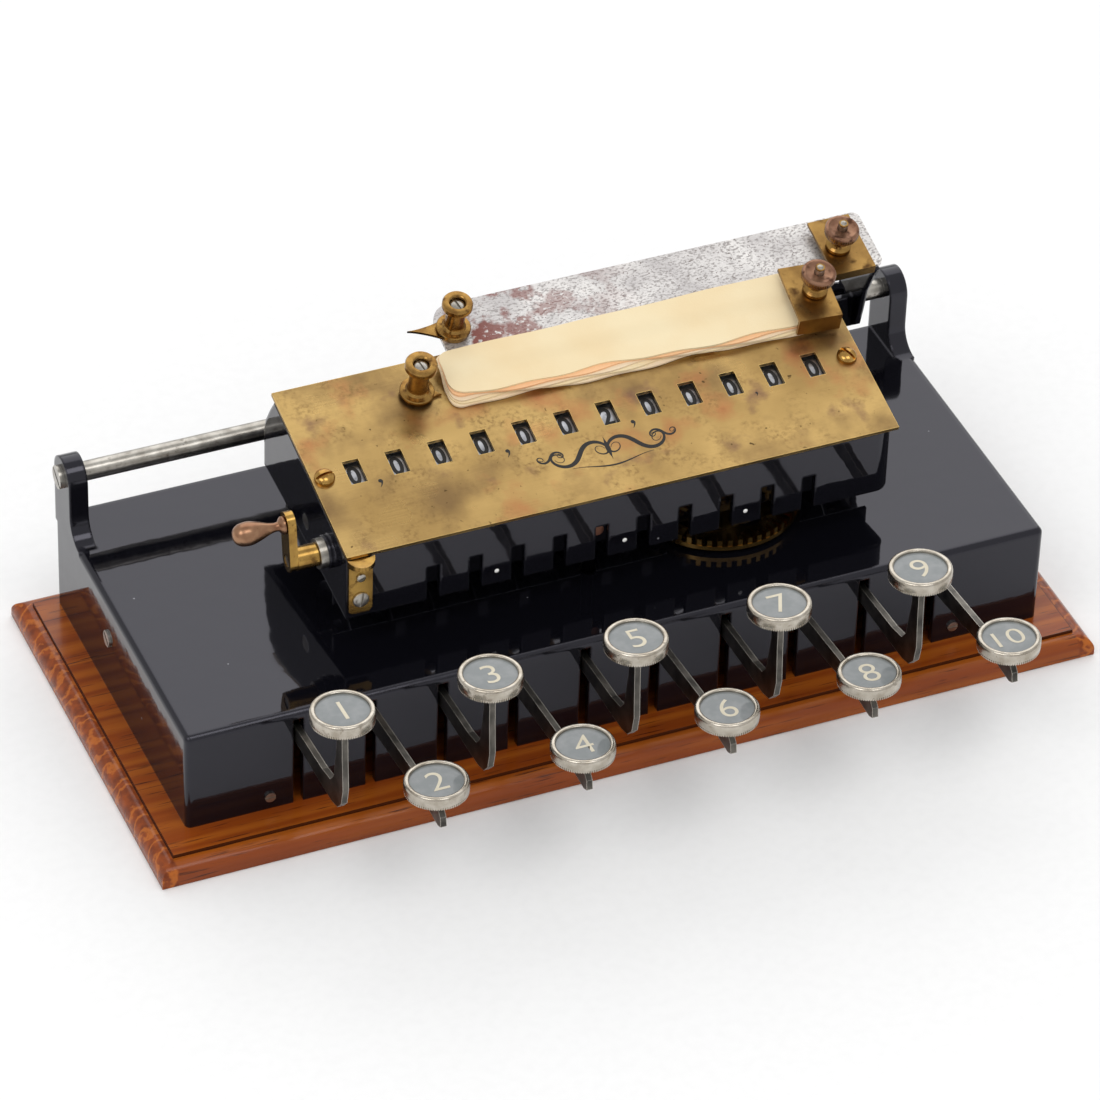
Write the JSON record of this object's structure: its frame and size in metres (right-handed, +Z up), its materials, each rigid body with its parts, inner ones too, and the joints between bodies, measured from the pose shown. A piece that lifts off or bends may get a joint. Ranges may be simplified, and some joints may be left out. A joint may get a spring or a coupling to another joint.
{
  "type": "adding machine",
  "caption": "Key-driven adding machine on an oak board, with a sliding, lifting carriage of number wheels, a crank and note holders.",
  "frame": {"origin": "centre of the base board's underside", "axes": "+X along the board to the right of a user at the keys, +Y away from the user, +Z up"},
  "size_m": [0.253, 0.151, 0.0928],
  "materials": {
    "varnished_oak": "varnished",
    "black_enamel": "gloss",
    "bare_steel": "worn",
    "copper": "satin",
    "lever_steel": "dark",
    "nickel": "satin",
    "aged_brass": "aged",
    "bronze": "aged",
    "rusty_steel": "rusty",
    "paper": "matt"
  },
  "bodies": {
    "root": {"wood_base": "varnished_oak", "casing": "black_enamel", "rod": "bare_steel", "casing_screws": "bare_steel", "key_shaft": "bare_steel", "gear_arbor": "bare_steel", "locating_pin": "copper"},
    "key_01": {"key_01_lever": "lever_steel", "key_01_cap": "nickel"},
    "key_02": {"key_02_lever": "lever_steel", "key_02_cap": "nickel"},
    "key_03": {"key_03_lever": "lever_steel", "key_03_cap": "nickel"},
    "key_04": {"key_04_lever": "lever_steel", "key_04_cap": "nickel"},
    "key_05": {"key_05_lever": "lever_steel", "key_05_cap": "nickel"},
    "key_06": {"key_06_lever": "lever_steel", "key_06_cap": "nickel"},
    "key_07": {"key_07_lever": "lever_steel", "key_07_cap": "nickel"},
    "key_08": {"key_08_lever": "lever_steel", "key_08_cap": "nickel"},
    "key_09": {"key_09_lever": "lever_steel", "key_09_cap": "nickel"},
    "key_10": {"key_10_lever": "lever_steel", "key_10_cap": "nickel"},
    "slider": {"carriage_sleeve": "bare_steel"},
    "carriage": {"carriage_housing": "black_enamel", "hinge_bracket": "black_enamel", "cover_plate": "aged_brass", "carriage_screws": "aged_brass", "wheel_shaft": "bare_steel", "finger_tab": "aged_brass", "crank_collar": "bare_steel", "note_plate": "rusty_steel", "paper_pad": "paper", "front_clamp": "aged_brass", "rear_clamp": "aged_brass", "front_post": "aged_brass", "rear_post": "aged_brass"},
    "crank": {"crank_arm": "aged_brass", "crank_handle": "bronze"},
    "wheel_01": {"number_wheel_01": "nickel"},
    "wheel_02": {"number_wheel_02": "nickel"},
    "wheel_03": {"number_wheel_03": "nickel"},
    "wheel_04": {"number_wheel_04": "nickel"},
    "wheel_05": {"number_wheel_05": "nickel"},
    "wheel_06": {"number_wheel_06": "nickel"},
    "wheel_07": {"number_wheel_07": "nickel"},
    "wheel_08": {"number_wheel_08": "nickel"},
    "wheel_09": {"number_wheel_09": "nickel"},
    "wheel_10": {"number_wheel_10": "nickel"},
    "wheel_11": {"number_wheel_11": "nickel"},
    "wheel_12": {"number_wheel_12": "nickel"},
    "gear": {"crown_gear": "aged_brass"},
    "front_knob": {"front_knob": "bronze"},
    "rear_knob": {"rear_knob": "bronze"},
    "front_pointer": {"front_pointer": "aged_brass"},
    "rear_pointer": {"rear_pointer": "aged_brass"}
  },
  "joints": [
    {"name": "key_01_press", "type": "hinge", "parent": "root", "child": "key_01", "pos_m": [-0.08644, 0.0123, 0.0231], "axis": [1, 0, 0], "range_deg": [0, 6], "stiffness_Nm_per_rad": 0.4, "springref_deg": -5.73},
    {"name": "key_02_press", "type": "hinge", "parent": "root", "child": "key_02", "pos_m": [-0.06744, 0.0123, 0.0231], "axis": [1, 0, 0], "range_deg": [0, 6], "stiffness_Nm_per_rad": 0.4, "springref_deg": -5.73},
    {"name": "key_03_press", "type": "hinge", "parent": "root", "child": "key_03", "pos_m": [-0.04844, 0.0123, 0.0231], "axis": [1, 0, 0], "range_deg": [0, 6], "stiffness_Nm_per_rad": 0.4, "springref_deg": -5.73},
    {"name": "key_04_press", "type": "hinge", "parent": "root", "child": "key_04", "pos_m": [-0.02944, 0.0123, 0.0231], "axis": [1, 0, 0], "range_deg": [0, 6], "stiffness_Nm_per_rad": 0.4, "springref_deg": -5.73},
    {"name": "key_05_press", "type": "hinge", "parent": "root", "child": "key_05", "pos_m": [-0.01044, 0.0123, 0.0231], "axis": [1, 0, 0], "range_deg": [0, 6], "stiffness_Nm_per_rad": 0.4, "springref_deg": -5.73},
    {"name": "key_06_press", "type": "hinge", "parent": "root", "child": "key_06", "pos_m": [0.00856, 0.0123, 0.0231], "axis": [1, 0, 0], "range_deg": [0, 6], "stiffness_Nm_per_rad": 0.4, "springref_deg": -5.73},
    {"name": "key_07_press", "type": "hinge", "parent": "root", "child": "key_07", "pos_m": [0.02756, 0.0123, 0.0231], "axis": [1, 0, 0], "range_deg": [0, 6], "stiffness_Nm_per_rad": 0.4, "springref_deg": -5.73},
    {"name": "key_08_press", "type": "hinge", "parent": "root", "child": "key_08", "pos_m": [0.04656, 0.0123, 0.0231], "axis": [1, 0, 0], "range_deg": [0, 6], "stiffness_Nm_per_rad": 0.4, "springref_deg": -5.73},
    {"name": "key_09_press", "type": "hinge", "parent": "root", "child": "key_09", "pos_m": [0.06556, 0.0123, 0.0231], "axis": [1, 0, 0], "range_deg": [0, 6], "stiffness_Nm_per_rad": 0.4, "springref_deg": -5.73},
    {"name": "key_10_press", "type": "hinge", "parent": "root", "child": "key_10", "pos_m": [0.08456, 0.0123, 0.0231], "axis": [1, 0, 0], "range_deg": [0, 6], "stiffness_Nm_per_rad": 0.4, "springref_deg": -5.73},
    {"name": "carriage_slide", "type": "slide", "parent": "root", "child": "slider", "axis": [1, 0, 0], "range_m": [-0.05635, 0.01127]},
    {"name": "carriage_lift", "type": "hinge", "parent": "slider", "child": "carriage", "pos_m": [0.02, 0.046, 0.0497], "axis": [-1, 0, 0], "range_deg": [0, 45]},
    {"name": "crank_turn", "type": "hinge", "parent": "carriage", "child": "crank", "pos_m": [-0.073, -0.0145, 0.0573], "axis": [1, 0, 0], "continuous": true},
    {"name": "wheel_01_turn", "type": "hinge", "parent": "carriage", "child": "wheel_01", "pos_m": [-0.05565, 0.00211, 0.05423], "axis": [1, 0, 0], "continuous": true},
    {"name": "wheel_02_turn", "type": "hinge", "parent": "carriage", "child": "wheel_02", "pos_m": [-0.04438, 0.00211, 0.05423], "axis": [1, 0, 0], "continuous": true},
    {"name": "wheel_03_turn", "type": "hinge", "parent": "carriage", "child": "wheel_03", "pos_m": [-0.03311, 0.00211, 0.05423], "axis": [1, 0, 0], "continuous": true},
    {"name": "wheel_04_turn", "type": "hinge", "parent": "carriage", "child": "wheel_04", "pos_m": [-0.02184, 0.00211, 0.05423], "axis": [1, 0, 0], "continuous": true},
    {"name": "wheel_05_turn", "type": "hinge", "parent": "carriage", "child": "wheel_05", "pos_m": [-0.01057, 0.00211, 0.05423], "axis": [1, 0, 0], "continuous": true},
    {"name": "wheel_06_turn", "type": "hinge", "parent": "carriage", "child": "wheel_06", "pos_m": [0.0007, 0.00211, 0.05423], "axis": [1, 0, 0], "continuous": true},
    {"name": "wheel_07_turn", "type": "hinge", "parent": "carriage", "child": "wheel_07", "pos_m": [0.01197, 0.00211, 0.05423], "axis": [1, 0, 0], "continuous": true},
    {"name": "wheel_08_turn", "type": "hinge", "parent": "carriage", "child": "wheel_08", "pos_m": [0.02324, 0.00211, 0.05423], "axis": [1, 0, 0], "continuous": true},
    {"name": "wheel_09_turn", "type": "hinge", "parent": "carriage", "child": "wheel_09", "pos_m": [0.03451, 0.00211, 0.05423], "axis": [1, 0, 0], "continuous": true},
    {"name": "wheel_10_turn", "type": "hinge", "parent": "carriage", "child": "wheel_10", "pos_m": [0.04578, 0.00211, 0.05423], "axis": [1, 0, 0], "continuous": true},
    {"name": "wheel_11_turn", "type": "hinge", "parent": "carriage", "child": "wheel_11", "pos_m": [0.05705, 0.00211, 0.05423], "axis": [1, 0, 0], "continuous": true},
    {"name": "wheel_12_turn", "type": "hinge", "parent": "carriage", "child": "wheel_12", "pos_m": [0.06832, 0.00211, 0.05423], "axis": [1, 0, 0], "continuous": true},
    {"name": "gear_turn", "type": "hinge", "parent": "root", "child": "gear", "pos_m": [0.0421, -0.0038, 0.0365], "axis": [0, 0, 1], "continuous": true},
    {"name": "front_knob_turn", "type": "hinge", "parent": "carriage", "child": "front_knob", "pos_m": [0.07508, 0.0126, 0.0827], "axis": [0, -0.2524, 0.9676], "continuous": true},
    {"name": "rear_knob_turn", "type": "hinge", "parent": "carriage", "child": "rear_knob", "pos_m": [0.08708, 0.02469, 0.08586], "axis": [0, -0.2524, 0.9676], "continuous": true},
    {"name": "front_pointer_turn", "type": "hinge", "parent": "carriage", "child": "front_pointer", "pos_m": [-0.03222, 0.016, 0.0748], "axis": [0, -0.2524, 0.9676], "range_deg": [-30, 30]},
    {"name": "rear_pointer_turn", "type": "hinge", "parent": "carriage", "child": "rear_pointer", "pos_m": [-0.01722, 0.02918, 0.08134], "axis": [0, -0.2524, 0.9676], "range_deg": [-20, 20]}
  ]
}
